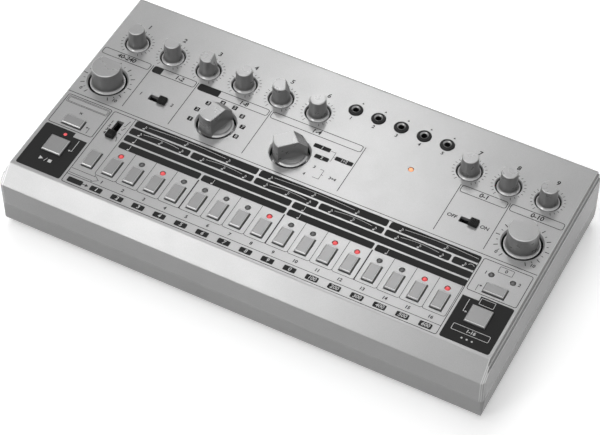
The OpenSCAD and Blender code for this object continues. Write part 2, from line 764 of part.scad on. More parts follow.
// key: chamfered cap, flange that keeps it under the panel, and the switch's plunger
module key(k) {
    chamfer = 0.55;
    flange = key_gap + 0.7;
    flange_top = under_z - 0.3;
    flange_z = flange_top - 1.2;
    w = k[2];
    d = k[3];
    z1 = top_z + key_stand;
    translate([k[0], row(k[1]), 0]) intersection() {
        translate([0, d / 2, 0]) rotate([90, 0, 0]) linear_extrude(d)
            polygon(both_sides([[w / 2, flange_z], [w / 2, z1 - chamfer], [w / 2 - chamfer, z1]]));
        translate([-w / 2, 0, 0]) rotate([90, 0, 90]) linear_extrude(w)
            polygon(both_sides([[d / 2, flange_z], [d / 2, z1 - chamfer], [d / 2 - chamfer, z1]]));
    }
    block_at(k[0], k[1], flange_z, flange_top, w + 2 * flange, d + 2 * flange);
    column_at(k[0], k[1], board_z + tact_h - plunger_in, flange_z, plunger_r);
}

module function_button() color("gainsboro") key(function_key);

module clear_button() color("gainsboro") key(clear_key);

module start_button() color("gainsboro") key(start_key);

module pattern_button() color("gainsboro") key(pattern_key);

module tap_button() color("gainsboro") key(tap_key);

// ---------------------------------------------------------------- nodes

top_shell();
bottom_shell();
main_board();
rear_board();
pot_bodies();
rotary_switch_bodies();
slide_switch_bodies();
tact_switches();
top_jacks();
jack_nuts();
midi_sockets();
usb_socket();
dc_socket();
mix_out_socket();
voice_out_sockets();
power_switch_body();
power_rocker();
step_leds();
panel_leds();
rubber_feet();
case_screws();
board_screws();
ribbon_cable();
tempo_knob();
volume_knob();
instrument_selector();
mode_selector();
select_slider();
scale_slider();
distortion_slider();
function_button();
clear_button();
start_button();
pattern_button();
tap_button();
for (k = small_knobs) small_knob(k);
for (i = [1:16]) color("gainsboro") key(step_keys[i - 1]);
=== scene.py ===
import json
import math

import bmesh
import bpy
from mathutils import Matrix, Vector


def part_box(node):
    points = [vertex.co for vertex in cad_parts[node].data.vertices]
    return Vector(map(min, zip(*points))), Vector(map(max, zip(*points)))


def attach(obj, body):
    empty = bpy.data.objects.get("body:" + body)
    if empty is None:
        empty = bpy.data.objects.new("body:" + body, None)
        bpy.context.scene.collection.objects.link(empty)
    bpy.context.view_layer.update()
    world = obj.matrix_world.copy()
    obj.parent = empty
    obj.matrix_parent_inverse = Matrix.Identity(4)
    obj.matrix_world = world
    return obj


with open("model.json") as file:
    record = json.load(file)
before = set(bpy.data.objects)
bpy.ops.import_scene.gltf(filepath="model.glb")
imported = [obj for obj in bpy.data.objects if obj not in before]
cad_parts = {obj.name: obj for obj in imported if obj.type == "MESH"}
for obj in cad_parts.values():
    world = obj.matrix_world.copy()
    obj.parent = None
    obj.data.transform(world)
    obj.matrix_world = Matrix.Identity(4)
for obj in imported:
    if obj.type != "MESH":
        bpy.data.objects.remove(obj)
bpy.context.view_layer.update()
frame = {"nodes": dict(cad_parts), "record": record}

# ---------------------------------------------------------------- places
# Lengths are millimetres until they become vertices. A column is measured from the panel's
# middle to the right, and a row from the panel's front edge to the rear.
MM = 0.001
BEVEL = 10.2
case_low, case_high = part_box("top_shell")
PANEL_Z = case_high.z / MM
FRONT_EDGE = case_low.y / MM + BEVEL

# step keys and the lamps over them
STEP_PITCH = 13.7
FIRST_STEP = -95.7
STEPS = range(1, 17)
LIT_STEPS = (1, 3, 8, 11, 12, 15, 16)
RUN_LAMP = 55.1
START_LAMP = -132.8

# knobs and slide switches
KNOB_PITCH = 24.2
KNOB_ROW = 114.8
VOICE_KNOBS = [-132.8 + i * KNOB_PITCH for i in range(6)]
EFFECT_KNOBS = [85 + i * KNOB_PITCH for i in range(3)]
LARGE_ROW = 80.2
END_COLUMN = 133.0
SLIDE_ROW = 80.4

# trigger sockets
JACK_COLUMNS = [7 + i * 14.65 for i in range(5)]
JACK_ROW = 126.5

# heights over the panel, and the column of the panel's side edge
NUT_TOP = 1.1
KEY_TOP = 1.5
SMALL_KNOB_TOP = 12.0
LARGE_KNOB_TOP = 12.3
PANEL_SIDE = 150.0


def step_column(number):
    return FIRST_STEP + (number - 1) * STEP_PITCH


def cell_edge(number):
    """Column of the line between a step and the next one."""
    return step_column(number) + STEP_PITCH / 2


def around(column, row, radius, degrees):
    turn = math.radians(degrees)
    return column + radius * math.cos(turn), row + radius * math.sin(turn)


def on_panel(column, row, lift=0.0):
    return Vector((column, FRONT_EDGE + row, PANEL_Z + lift)) * MM


# ---------------------------------------------------------------- shader tools
class Amount:
    """A number that varies over a surface. Arithmetic on it adds Math nodes."""

    def __init__(self, surface, socket):
        self.surface = surface
        self.socket = socket

    def math(self, operation, *terms):
        node = self.surface.node("ShaderNodeMath", {"operation": operation}, dict(enumerate(terms)))
        return Amount(self.surface, node.outputs[0])

    def __add__(self, other):
        return self.math("ADD", self, other)

    def __radd__(self, other):
        return self.math("ADD", other, self)

    def __sub__(self, other):
        return self.math("SUBTRACT", self, other)

    def __rsub__(self, other):
        return self.math("SUBTRACT", other, self)

    def __mul__(self, other):
        return self.math("MULTIPLY", self, other)

    def __rmul__(self, other):
        return self.math("MULTIPLY", other, self)

    def __truediv__(self, other):
        return self.math("DIVIDE", self, other)

    def __abs__(self):
        return self.math("ABSOLUTE", self)

    def above(self, other):
        return self.math("GREATER_THAN", self, other)

    def below(self, other):
        return self.math("LESS_THAN", self, other)

    def ramp(self, low, high):
        """0 below low, 1 above high and a smooth rise between them."""
        node = self.surface.node(
            "ShaderNodeMapRange",
            {"interpolation_type": "SMOOTHSTEP"},
            {"Value": self, "From Min": low, "From Max": high},
        )
        return Amount(self.surface, node.outputs["Result"])


class Surface:
    """The nodes of a material or of the world, with one main shader."""

    def __init__(self, owner, shader, values):
        owner.use_nodes = True
        self.tree = owner.node_tree
        self.shader = self.tree.nodes[shader]
        self.set(values)

    def set(self, values):
        self.fill(self.shader, values)

    def fill(self, node, values):
        for name, value in values.items():
            socket = node.inputs[name]
            value = getattr(value, "socket", value)
            if isinstance(value, bpy.types.NodeSocket):
                self.tree.links.new(value, socket)
            else:
                socket.default_value = value

    def node(self, kind, settings, values):
        node = self.tree.nodes.new(kind)
        for name, value in settings.items():
            setattr(node, name, value)
        self.fill(node, values)
        return node

    def place(self, scale=1.0):
        """Position on the object at rest, in millimetres divided by scale."""
        coordinate = self.node("ShaderNodeTexCoord", {}, {})
        scaled = self.node(
            "ShaderNodeVectorMath",
            {"operation": "SCALE"},
            {0: coordinate.outputs["Object"], "Scale": 1000.0 / scale},
        )
        return scaled.outputs[0]

    def axes(self):
        parts = self.node("ShaderNodeSeparateXYZ", {}, {0: self.place()})
        return [Amount(self, parts.outputs[i]) for i in range(3)]

    def noise(self, size, detail=2.0, stretch=None):
        """Cloudy variation from 0 to 1, with lumps about size millimetres across."""
        place = self.place(size)
        if stretch:
            place = self.node(
                "ShaderNodeVectorMath", {"operation": "MULTIPLY"}, {0: place, 1: stretch}
            ).outputs[0]
        node = self.node("ShaderNodeTexNoise", {}, {"Vector": place, "Scale": 1.0, "Detail": detail})
        return Amount(self, node.outputs["Fac"])

    def specks(self, size):
        """A random grey for each grain of about size millimetres."""
        node = self.node("ShaderNodeTexVoronoi", {}, {"Vector": self.place(size), "Scale": 1.0})
        parts = self.node("ShaderNodeSeparateColor", {}, {0: node.outputs["Color"]})
        return Amount(self, parts.outputs[0])

    def looked_at(self):
        """1 for the rays of the camera, of mirror images and of clear parts."""
        path = self.node("ShaderNodeLightPath", {}, {})
        kinds = ("Is Camera Ray", "Is Glossy Ray", "Is Transmission Ray")
        seen, mirrored_ray, through = (Amount(self, path.outputs[kind]) for kind in kinds)
        return seen + mirrored_ray + through

    def mix(self, factor, first, second):
        node = self.node("ShaderNodeMix", {"data_type": "RGBA"}, {0: factor, 6: first, 7: second})
        return node.outputs[2]

    def bump(self, height, strength, depth):
        """Relief of depth millimetres."""
        node = self.node(
            "ShaderNodeBump", {}, {"Height": height, "Strength": strength, "Distance": depth * MM}
        )
        self.set({"Normal": node.outputs["Normal"]})


class Finish(Surface):
    """A material on one Principled shader. Uniform values go straight to its sockets."""

    def __init__(self, name, values):
        self.material = bpy.data.materials.new(name)
        super().__init__(self.material, "Principled BSDF", values)


def grey(level):
    return (level, level, level, 1.0)


# ---------------------------------------------------------------- finishes
# grey of the highlights painted on the corners of the case's side steps and on knob edges
HIGHLIGHT_GREY = grey(0.58)


def silver_paint(name, level, roughness, metallic, coat=0.05, gloss=0.3, peel=0.25, painted_highlight=None):
    """Satin silver lacquer: fine metal flakes, faint clouds and a soft orange peel.

    An optional mask says, from a place on the object, how far a painted highlight lightens the lacquer
    there.
    """
    paint = Finish(name, {
        "Metallic": metallic,
        "Specular IOR Level": 0.2,
        "Coat Weight": coat,
        "Coat Roughness": gloss,
    })
    flakes = paint.specks(0.16)
    clouds = paint.noise(35, 3)
    tone = flakes * 0.5 + clouds * 0.5
    body = paint.mix(tone, grey(level * 0.88), grey(level * 1.12))
    # painted highlight: the paint turns to that grey where the mask says
    if painted_highlight:
        body = paint.mix(painted_highlight(*paint.axes()), body, HIGHLIGHT_GREY)
    paint.set({
        "Base Color": body,
        "Roughness": roughness - 0.03 + 0.06 * paint.noise(9, 4),
    })
    paint.bump(0.7 * paint.noise(0.9, 2) + 0.3 * flakes, peel, 0.02)
    return paint.material


def side_steps(x, y, z):
    """Painted highlights along the corners of the steps down each side of the case."""
    side = abs(x) - (PANEL_SIDE - 0.17)
    panel, middle, wall = (
        abs(side - step).below(width) for step, width in ((0.0, 0.22), (1.0, 0.22), (2.0, 0.16))
    )
    return panel + middle + wall


def knob_edges(x, y, z):
    """Painted highlights on the lip of a knob, down in the shade of its hole, and on the chamfer round
    its top.
    """
    small = y.above(FRONT_EDGE + (LARGE_ROW + KNOB_ROW) / 2)
    top = LARGE_KNOB_TOP - (LARGE_KNOB_TOP - SMALL_KNOB_TOP) * small
    depth = PANEL_Z + top - z
    # the lip is painted bright though it sits in the hole's shade
    lip = z.below(PANEL_Z + 0.1)
    chamfer = depth.below(0.5) * depth.above(0.04)
    return (lip + chamfer) * 0.6


def key_plastic():
    """Light grey moulded caps with a spark-eroded grain, and a painted highlight just under their top
    edge.
    """
    plastic = Finish("key_caps", {"Metallic": 0.4, "Coat Weight": 0.5, "Coat Roughness": 0.2})
    clouds = plastic.noise(7, 3)
    _, _, z = plastic.axes()
    depth = PANEL_Z + KEY_TOP - z
    # painted highlight: a thin band at the top of each cap's chamfer
    edge_glint = depth.below(0.2) * depth.above(0.01)
    plastic.set({
        "Base Color": plastic.mix(edge_glint, plastic.mix(clouds, grey(0.19), grey(0.22)), grey(0.6)),
        "Roughness": 0.3 + 0.08 * plastic.noise(3, 3),
    })
    plastic.bump(plastic.noise(0.22, 3), 0.3, 0.015)
    return plastic.material


def black_plastic(name, level, roughness):
    plastic = Finish(name, {"Specular IOR Level": 0.2})
    scuffs = plastic.noise(4, 5, (1, 6, 1))
    plastic.set({
        "Base Color": plastic.mix(scuffs, grey(level), grey(level * 2.2)),
        "Roughness": roughness + 0.12 * plastic.noise(2, 3),
    })
    plastic.bump(plastic.noise(0.3, 2), 0.3, 0.02)
    return plastic.material


def bright_metal(name, level, roughness):
    """Plated or plain sheet metal with fine draw marks."""
    metal = Finish(name, {"Metallic": 1.0})
    marks = metal.noise(0.5, 3, (1, 12, 1))
    metal.set({
        "Base Color": metal.mix(metal.noise(6, 3), grey(level * 0.85), grey(level)),
        "Roughness": roughness + 0.15 * marks,
    })
    metal.bump(marks, 0.15, 0.01)
    return metal.material


def switch_can():
    """Sheet metal can whose slot and cover are black plastic."""
    can = Finish("switch_can", {})
    _, _, z = can.axes()
    low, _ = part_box("slide_switch_bodies")
    cover = z.above(low.z / MM + 3.9)
    can.set({
        "Base Color": can.mix(cover, can.mix(can.noise(6, 3), grey(0.5), grey(0.6)), grey(0.008)),
        "Metallic": 1.0 - cover,
        "Roughness": 0.3 + 0.15 * can.noise(0.5, 3, (1, 12, 1)) + 0.2 * cover,
    })
    return can.material


def circuit_board():
    """Very dark green solder mask over copper tracks that run in straight lanes."""
    board = Finish("solder_mask", {"Coat Weight": 0.5, "Coat Roughness": 0.1})
    lanes = board.node(
        "ShaderNodeTexBrick",
        {"offset": 0.5},
        {"Vector": board.place(6.0), "Scale": 1.0, "Mortar Size": 0.06, "Bias": 0.0},
    )
    track = Amount(board, lanes.outputs["Fac"])
    board.set({
        "Base Color": board.mix(track, (0.006, 0.03, 0.014, 1), (0.014, 0.06, 0.028, 1)),
        "Roughness": 0.35 + 0.1 * board.noise(3, 2),
    })
    board.bump(track, 0.4, 0.03)
    return board.material


def flat_cable():
    """Grey ribbon of parallel cores, with one marked core at its edge. The grooves between the cores are
    painted darker than their crowns, as painted shade.
    """
    cable = Finish("ribbon_cores", {"Roughness": 0.6})
    x, _, _ = cable.axes()
    core = cable.node("ShaderNodeMath", {"operation": "PINGPONG"}, {0: x, 1: 0.635})
    ridge = Amount(cable, core.outputs[0]) / 0.635
    low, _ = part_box("ribbon_cable")
    marked = x.below(low.x / MM + 2.8)
    # painted shade: the cores are lighter on their crowns and darker in the grooves between them
    plain = cable.mix(ridge, grey(0.22), grey(0.42))
    cable.set({"Base Color": cable.mix(marked, plain, (0.45, 0.03, 0.03, 1))})
    cable.bump(ridge, 0.6, 0.3)
    return cable.material


def rubber():
    foot = Finish("foot_rubber", {"Specular IOR Level": 0.3})
    dust = foot.noise(3, 5)
    foot.set({
        "Base Color": foot.mix(dust, grey(0.012), grey(0.05)),
        "Roughness": 0.75 + 0.2 * foot.noise(1.2, 2),
    })
    foot.bump(foot.noise(0.5, 3), 0.5, 0.05)
    return foot.material


def lamp_lens(name, glows):
    """Smoke grey diffused lenses. Those in the columns of glows shine in the colour given there."""
    lens = Finish(name, {"Emission Strength": 1.0, "Coat Weight": 0.4, "Coat Roughness": 0.15})
    x, _, z = lens.axes()
    grain = lens.noise(0.4, 2)
    dome = z.ramp(PANEL_Z - 0.9, PANEL_Z + 0.4)
    tone = lens.mix(grain, grey(0.08), grey(0.13))
    light = grey(0.0)
    for column, glow in glows.items():
        on = abs(x - column).below(3.0)
        tone = lens.mix(on, tone, glow)
        light = lens.mix(on * (0.55 + 0.45 * dome), light, glow)
    lens.set({"Base Color": tone, "Roughness": 0.3 + 0.2 * grain, "Emission Color": light})
    return lens.material


def ink(name, level):
    """Screen-printed ink: nearly even, a little thinner in places."""
    print_ink = Finish(name, {"Specular IOR Level": 0.15})
    thin = print_ink.noise(1.5, 4)
    print_ink.set({
        "Base Color": print_ink.mix(thin, grey(level * 0.9), grey(level * 1.15)),
        "Roughness": 0.5 + 0.15 * thin,
    })
    print_ink.bump(print_ink.noise(0.25, 2), 0.15, 0.01)
    return print_ink.material


RED = (0.5, 0.05, 0.055, 1)
ORANGE = (0.8, 0.34, 0.17, 1)
finishes = {
    # case paint with painted highlights on the corners of its side steps
    "top_case": silver_paint(
        "case_paint", level=0.38, roughness=0.25, metallic=0.3, painted_highlight=side_steps),
    # the lower case's paint is a little darker and duller than the upper's: painted shade near the floor
    "bottom_case": silver_paint("lower_case_paint", level=0.36, roughness=0.36, metallic=0.22),
    # knob paint with painted highlights on its lips and top chamfers
    "knob_silver": silver_paint(
        "knob_paint", level=0.27, roughness=0.28, metallic=0.5,
        coat=0.5, gloss=0.2, peel=0.06, painted_highlight=knob_edges),
    "key_plastic": key_plastic(),
    "slider_black": black_plastic("slider_cap", 0.007, 0.45),
    "black_plastic": black_plastic("moulded_black", 0.012, 0.45),
    "black_nuts": black_plastic("nut_lacquer", 0.006, 0.35),
    "socket_metal": bright_metal("socket_plating", 0.3, 0.25),
    "switch_metal": switch_can(),
    "pot_metal": bright_metal("pot_can", 0.55, 0.35),
    "board": circuit_board(),
    "step_lens": lamp_lens("step_lens", {step_column(i): RED for i in LIT_STEPS}),
    "panel_lens": lamp_lens("panel_lens", {RUN_LAMP: ORANGE, START_LAMP: RED}),
    "feet_rubber": rubber(),
    "screw_steel": bright_metal("screw_steel", 0.35, 0.35),
    "ribbon": flat_cable(),
}
BLACK_INK = ink("black_ink", 0.014)
WHITE_INK = ink("white_ink", 0.62)

for part in frame["record"]["subparts"]:
    solid = frame["nodes"][part["node"]]
    solid.data.materials.clear()
    solid.data.materials.append(finishes[part["material_slot"]])


# ---------------------------------------------------------------- printing on the panel
INK_DEPTH = 0.03
ARC_STEPS = 5
# widths of printed lines
LINE = 0.4
MEDIUM = 0.32
THIN = 0.3
FINE = 0.28
HAIR = 0.25


def rounded(column, row, width, depth, radius):
    """Outline of a rectangle with round corners, centred on a column and a row."""
    points = []
    for x, y, start in ((1, 1, 0), (-1, 1, 90), (-1, -1, 180), (1, -1, 270)):
        centre = column + x * (width / 2 - radius), row + y * (depth / 2 - radius)
        points += [around(*centre, radius, start + 90 * i / ARC_STEPS) for i in range(ARC_STEPS + 1)]
    return points


def ribbon_sides(points, width, closed=False):
    """The two edges of a line of one width through the points, mitred at its bends."""
    left, right = [], []
    count = len(points)
    for i, point in enumerate(points):
        here = Vector(point)
        before = Vector(points[i - 1]) if i or closed else None
        after = Vector(points[(i + 1) % count]) if i < count - 1 or closed else None
        arrive = (here - before).normalized() if before else (after - here).normalized()
        leave = (after - here).normalized() if after else arrive
        normal = Vector((-arrive.y - leave.y, arrive.x + leave.x)).normalized()
        reach = width / 2 / max(0.4, normal.dot(Vector((-arrive.y, arrive.x))))
        left.append(here + normal * reach)
        right.append(here - normal * reach)
    return left, right


def add_piece(name, mesh, finish, body="case"):
    """Puts a piece on a body of the machine."""
    bmesh.ops.remove_doubles(mesh, verts=mesh.verts, dist=1e-7)
    bmesh.ops.recalc_face_normals(mesh, faces=mesh.faces)
    data = bpy.data.meshes.new(name)
    mesh.to_mesh(data)
    mesh.free()
    data.materials.clear()
    data.materials.append(finish)
    piece = bpy.data.objects.new(name, data)
    bpy.context.scene.collection.objects.link(piece)
    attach(piece, body)


class Print:
    """Shapes printed on the panel with one ink, as thin closed plates in one piece."""

    def __init__(self, name, finish, layer=0):
        self.name = name
        self.finish = finish
        self.floor = layer * INK_DEPTH
        self.mesh = bmesh.new()

    def vertices(self, points, lift):
        return [self.mesh.verts.new(on_panel(*point, lift)) for point in points]

    def plate(self, outline):
        low = self.vertices(outline, self.floor)
        high = self.vertices(outline, self.floor + INK_DEPTH)
        self.mesh.faces.new(high)
        self.mesh.faces.new(low[::-1])
        for i in range(len(outline)):
            self.mesh.faces.new((low[i - 1], low[i], high[i], high[i - 1]))

    def band(self, left, right, closed=False):
        rings = [
            self.vertices(points, self.floor + rise)
            for points, rise in ((left, 0), (left, INK_DEPTH), (right, INK_DEPTH), (right, 0))
        ]
        last = len(left)
        for i in range(0 if closed else 1, last):
            for one, other in zip(rings, rings[1:] + rings[:1]):
                self.mesh.faces.new((one[i - 1], one[i], other[i], other[i - 1]))
        if not closed:
            self.mesh.faces.new([ring[0] for ring in rings])
            self.mesh.faces.new([ring[last - 1] for ring in rings[::-1]])

    def bar(self, column, row, width, depth, radius=0.4):
        self.plate(rounded(column, row, width, depth, radius))

    def line(self, points, width=LINE):
        self.band(*ribbon_sides(points, width))

    def frame(self, column, row, width, depth, radius=1.2, line_width=LINE):
        outline = rounded(column, row, width, depth, radius)
        self.band(*ribbon_sides(outline, line_width, closed=True), closed=True)

    def disc(self, column, row, radius):
        self.plate([around(column, row, radius, 15 * i) for i in range(24)])

    def number(self, text, column, row, height, slant=0.1, weight=0.08):
        curve = bpy.data.curves.new("digits", "FONT")
        curve.body = text
        curve.size = height / 0.72 * MM
        curve.align_x = "CENTER"
        curve.align_y = "CENTER"
        curve.shear = slant
        curve.offset = weight * MM
        curve.extrude = INK_DEPTH / 2 * MM
        curve.resolution_u = 3
        written = bpy.data.objects.new("digits", curve)
        bpy.context.scene.collection.objects.link(written)
        bpy.context.view_layer.update()
        final = written.evaluated_get(bpy.context.evaluated_depsgraph_get())
        shape = bpy.data.meshes.new_from_object(final)
        shape.transform(Matrix.Translation(on_panel(column, row, self.floor + INK_DEPTH / 2)))
        self.mesh.from_mesh(shape)
        bpy.data.objects.remove(written)
        bpy.data.meshes.remove(shape)

    def finish_piece(self):
        add_piece(self.name, self.mesh, self.finish)


DIAL_ANGLES = [240 - 15 * i for i in range(21)]


def dial_marks():
    marks = Print("dial_marks", BLACK_INK)
    for column in VOICE_KNOBS + EFFECT_KNOBS:
        for i, angle in enumerate(DIAL_ANGLES):
            long = i % 10 == 0
            ends = [around(column, KNOB_ROW, r, angle) for r in (8.9, 10.7 if long else 10.2)]
            marks.line(ends, MEDIUM)
    for column in (-END_COLUMN, END_COLUMN):
        for i, angle in enumerate(DIAL_ANGLES):
            long = i % 2 == 0
            ends = [around(column, LARGE_ROW, r, angle) for r in (13.5, 16.0 if long else 14.7)]
            marks.line(ends, 0.5 if long else LINE)
    for number, column in enumerate(VOICE_KNOBS + EFFECT_KNOBS, 1):
        marks.number(str(number), column, KNOB_ROW + 14.6, 3.2, weight=0.11)
    for text, column in (("0", -144.2), ("10", -121.4), ("0", 122.4), ("10", 144.4)):
        marks.number(text, column, LARGE_ROW - 12.0, 2.2)
    marks.finish_piece()


# left column, right column, numbers and how far these stand right of the middle of each title box
TITLES = [
    (-148.2, -116.4, "40-240", 0), (-114.0, -85.6, "1-2", 3.5), (-83.3, -37.1, "1-8", 7),
    (-34.8, 23.8, "1-4", 0), (86.2, 114.4, "0-1", 0), (116.6, 148.9, "0-10", 0),
]
# column and width of the black tabs at the left ends of two of them
TABS = [(-110.9, 5.9), (-76.2, 14.0)]
TITLE_ROW = 101.0
TITLE_DEPTH = 5.0
DIVIDERS = (-115.1, -84.5, -36.0, 25.2, 85.1, 115.6)


def title_boxes():
    boxes = Print("title_boxes", BLACK_INK)
    for left, right, numbers, shift in TITLES:
        middle = (left + right) / 2
        boxes.frame(middle, TITLE_ROW, right - left, TITLE_DEPTH, 1.4)
        boxes.number(numbers, middle + shift, TITLE_ROW, 3.1, weight=0.12)
    for column, width in TABS:
        boxes.bar(column, TITLE_ROW, width, TITLE_DEPTH, 0.9)
    for column in DIVIDERS:
        boxes.line([(column, 66.6), (column, 103.4)])
    # line across the whole panel in front of the large knobs
    boxes.line([(-149.4, 63.3), (149.4, 63.3)])
    boxes.finish_piece()


SELECTOR_BADGES = [
    (-75.3, 76.4), (-75.3, 84.7), (-71.7, 91.7), (-64.3, 95.9),
    (-56.2, 95.7), (-49.3, 91.7), (-45.2, 84.6), (-45.2, 76.4),
]
# number, column, row and width of the mode selector's black badges
MODE_BADGES = [("1", 3.0, 91.7, 10.6), ("2", 6.2, 84.6, 8.8), ("1+2", 18.7, 88.1, 11.2)]
MODE_BADGE_DEPTH = 3.0
# number, column and row of its plain positions
MODE_NUMBERS = [("3", 5.6, 76.7), ("4", 2.5, 69.6), ("3+4", 18.7, 73.2)]
# ends of the two lines that each bracket joins, and the row where it goes on
MODE_BRACKETS = [
    ((8.7, 91.7), (10.9, 84.7), 88.1),
    ((9.6, 76.7), (7.8, 69.6), 73.2),
]
BRACKET_COLUMN = 11.8


def selector_print():
    badges = Print("selector_badges", BLACK_INK)
    numbers = Print("selector_numbers", WHITE_INK, layer=1)
    for number, (column, row) in enumerate(SELECTOR_BADGES, 1):
        badges.bar(column, row, 3.1, 3.1, 0.5)
        numbers.number(str(number), column, row, 2.0, weight=0.06)
    for text, column, row, width in MODE_BADGES:
        badges.bar(column, row, width, MODE_BADGE_DEPTH, 0.5)
        numbers.number(text, column, row, 1.9, weight=0.06)
    for text, column, row in MODE_NUMBERS:
        badges.number(text, column, row, 2.0)
    for (upper_end, upper), (lower_end, lower), joined in MODE_BRACKETS:
        bracket = [(BRACKET_COLUMN, upper), (BRACKET_COLUMN, lower)]
        badges.line([(upper_end, upper), *bracket, (lower_end, lower)], HAIR)
        badges.line([(BRACKET_COLUMN, joined), (BRACKET_COLUMN + 1.1, joined)], HAIR)
    badges.finish_piece()
    numbers.finish_piece()


# row of each line of bars over the steps, and how many steps each bar covers
BAR_ROWS = [
    (58.5, (6, 6, 4)), (52.5, (3, 3, 3, 3, 3, 1)), (46.5, (8, 8)), (40.4, (4, 4, 4, 4)),
]
BAR_DEPTH = 4.8
BAR_GAP = 1.3
BAR_END = cell_edge(16) + 0.8
NOTE_SHIFT = 0.7
NOTE_LINE = 0.24
STEM_LINE = 0.22


def note(ink_print, column, row, height, flagged):
    """A small quaver or crotchet whose head stands on a row."""
    head = []
    for i in range(12):
        across, along = around(0, 0, 1, 30 * i)
        head.append((column + 0.62 * across - 0.18 * along, row + 0.22 * across + 0.42 * along))
    ink_print.plate(head)
    stem = column + 0.52
    ink_print.line([(stem, row + 0.2), (stem, row + height)], STEM_LINE)
    if flagged:
        top = row + height
        flag = [(stem + 0.11, top), (stem + 0.75, top - 0.9), (stem + 0.62, top - 1.7)]
        ink_print.line(flag, NOTE_LINE)


def tie(ink_print, left, right, row, rise):
    """Shallow arc that joins the first and last note of a group."""
    count = 14
    points = [
        (left + (right - left) * i / count, row + rise * math.sin(math.pi * i / count))
        for i in range(count + 1)
    ]
    ink_print.line(points, NOTE_LINE)


def bar_notes(row, first, size):
    """Steps over which a bar has notes, and their height. Only short notes have a flag and a tie."""
    if size in (3, 1):
        return range(first, min(first + 3, 17)), 2.4
    if row == BAR_ROWS[0][0]:
        return range(first, min(first + 5, 17), 2), 2.4
    return [first], 3.2


def rhythm_bars():
    bars = Print("rhythm_bars", BLACK_INK)
    notes = Print("rhythm_notes", WHITE_INK, layer=1)
    for row, groups in BAR_ROWS:
        tied = len(groups) in (3, 6)
        first = 1
        for size in groups:
            after = first + size
            left = cell_edge(first - 1) + (BAR_GAP / 2 if first > 1 else 1.3)
            right = cell_edge(after - 1) - BAR_GAP / 2 if after <= 16 else BAR_END
            bars.bar((left + right) / 2, row, right - left, BAR_DEPTH, 1.1)
            steps, height = bar_notes(row, first, size)
            for step in steps:
                note(notes, step_column(step) + NOTE_SHIFT, row - 1.5, height, tied)
            if tied:
                last = first + (2 if size in (3, 1) else 4)
                finish = min(step_column(last), BAR_END) - 1.0
                tie(notes, step_column(first) + 3.0, finish, row + 0.5, 0.9)
            first = after
    bars.finish_piece()
    notes.finish_piece()


CELL_TOP = 37.9
CELL_BOTTOM = 14.4
CELL_CORNER = 1.4
HEAVY_EDGES = (4, 8, 12)
NUMBER_ROW = 11.0
BADGE_ROW = 4.8
BADGE_DEPTH = 3.6
BADGE_NUMBERS = [str(i % 10) for i in range(1, 11)] + ["100", "200", "300", "400", "500", "600"]
FIELD_LEFT = -116.8
FIELD_ROW = 31.4
FIELD_DEPTH = 59.4
FUNCTION_COLUMN = -109.5


def cell_foot(number):
    """Line with round corners along the front of a step's cell."""
    left = cell_edge(number - 1) + CELL_CORNER
    right = cell_edge(number) - CELL_CORNER
    row = CELL_BOTTOM + CELL_CORNER
    return (
        [around(left, row, CELL_CORNER, 180 + 18 * i) for i in range(6)]
        + [around(right, row, CELL_CORNER, 270 + 18 * i) for i in range(6)]
    )


def step_field():
    lines = Print("step_lines", BLACK_INK)
    for number in range(0, 17):
        column = cell_edge(number)
        heavy = number in HEAVY_EDGES
        foot = CELL_BOTTOM if heavy else CELL_BOTTOM + CELL_CORNER
        lines.line([(column, foot), (column, CELL_TOP)], 0.75 if heavy else THIN)
    for number in STEPS:
        lines.line(cell_foot(number), THIN)
        lines.number(str(number), step_column(number), NUMBER_ROW, 2.2, weight=0.1)
    # outer frame of the function and step field, and the lines that part it
    lines.frame((FIELD_LEFT + BAR_END) / 2, FIELD_ROW, BAR_END - FIELD_LEFT, FIELD_DEPTH, 1.2)
    lines.line([(FIELD_LEFT, 8.1), (BAR_END, 8.1)], MEDIUM)
    lines.line([(cell_edge(0), CELL_TOP), (cell_edge(0), 60.9)], THIN)
    # outlined arrow in front of the first number
    lines.line([(-116.2, 12.8), (-101.4, 12.8), (-101.4, 13.6), (-97.9, 11.1), (-101.4, 8.7),
                (-101.4, 9.4), (-116.2, 9.4)], FINE)
    # badge in front of the function key, with an arrow to the first step's badge
    lines.bar(FUNCTION_COLUMN, BADGE_ROW, 9.6, BADGE_DEPTH, 0.7)
    lines.line([(-104.7, BADGE_ROW), (-102.2, BADGE_ROW)], 0.5)
    lines.plate([(-102.6, BADGE_ROW - 1.1), (-100.8, BADGE_ROW), (-102.6, BADGE_ROW + 1.1)])
    white = Print("step_badge_numbers", WHITE_INK, layer=1)
    for number, text in zip(STEPS, BADGE_NUMBERS):
        lines.bar(step_column(number), BADGE_ROW, 7.5, BADGE_DEPTH, 0.6)
        white.number(text, step_column(number), BADGE_ROW, 2.4, slant=0.2, weight=0.07)
    lines.finish_piece()
    white.finish_piece()


# side of the panel, column and width of the two end fields
END_FIELDS = [(-1, -132.9, 29.2), (1, 133.6, 29.4)]
CLEAR_TITLE_COLUMN = -132.7
PATTERN_COLUMN = 133.5
TAP_COLUMN = 133.6


def black_field(side, column, width):
    """Outline with a clear notch in its inner rear corner."""
    inner = column - side * width / 2
    outer = column + side * width / 2
    radius = 1.2
    front, rear = 1.9, 36.1
    notch_column, notch_row = inner + side * 9.6, 32.8
    return [
        (inner, front + radius),
        around(inner + side * radius, front + radius, radius, 270 - side * 45),
        (inner + side * radius, front),
        (outer - side * radius, front),
        around(outer - side * radius, front + radius, radius, 270 + side * 45),
        (outer, front + radius),
        (outer, rear - radius),
        around(outer - side * radius, rear - radius, radius, 90 - side * 45),
        (outer - side * radius, rear),
        (notch_column, rear),
        (notch_column, notch_row),
        (inner, notch_row),
    ]


def arrow_head(lane, row, side):
    """Triangle that points away from a lane, towards one side of the panel."""
    back, tip = lane + side * 1.2, lane + side * 2.4
    return [(back, row - 0.7), (tip, row), (back, row + 0.7)]


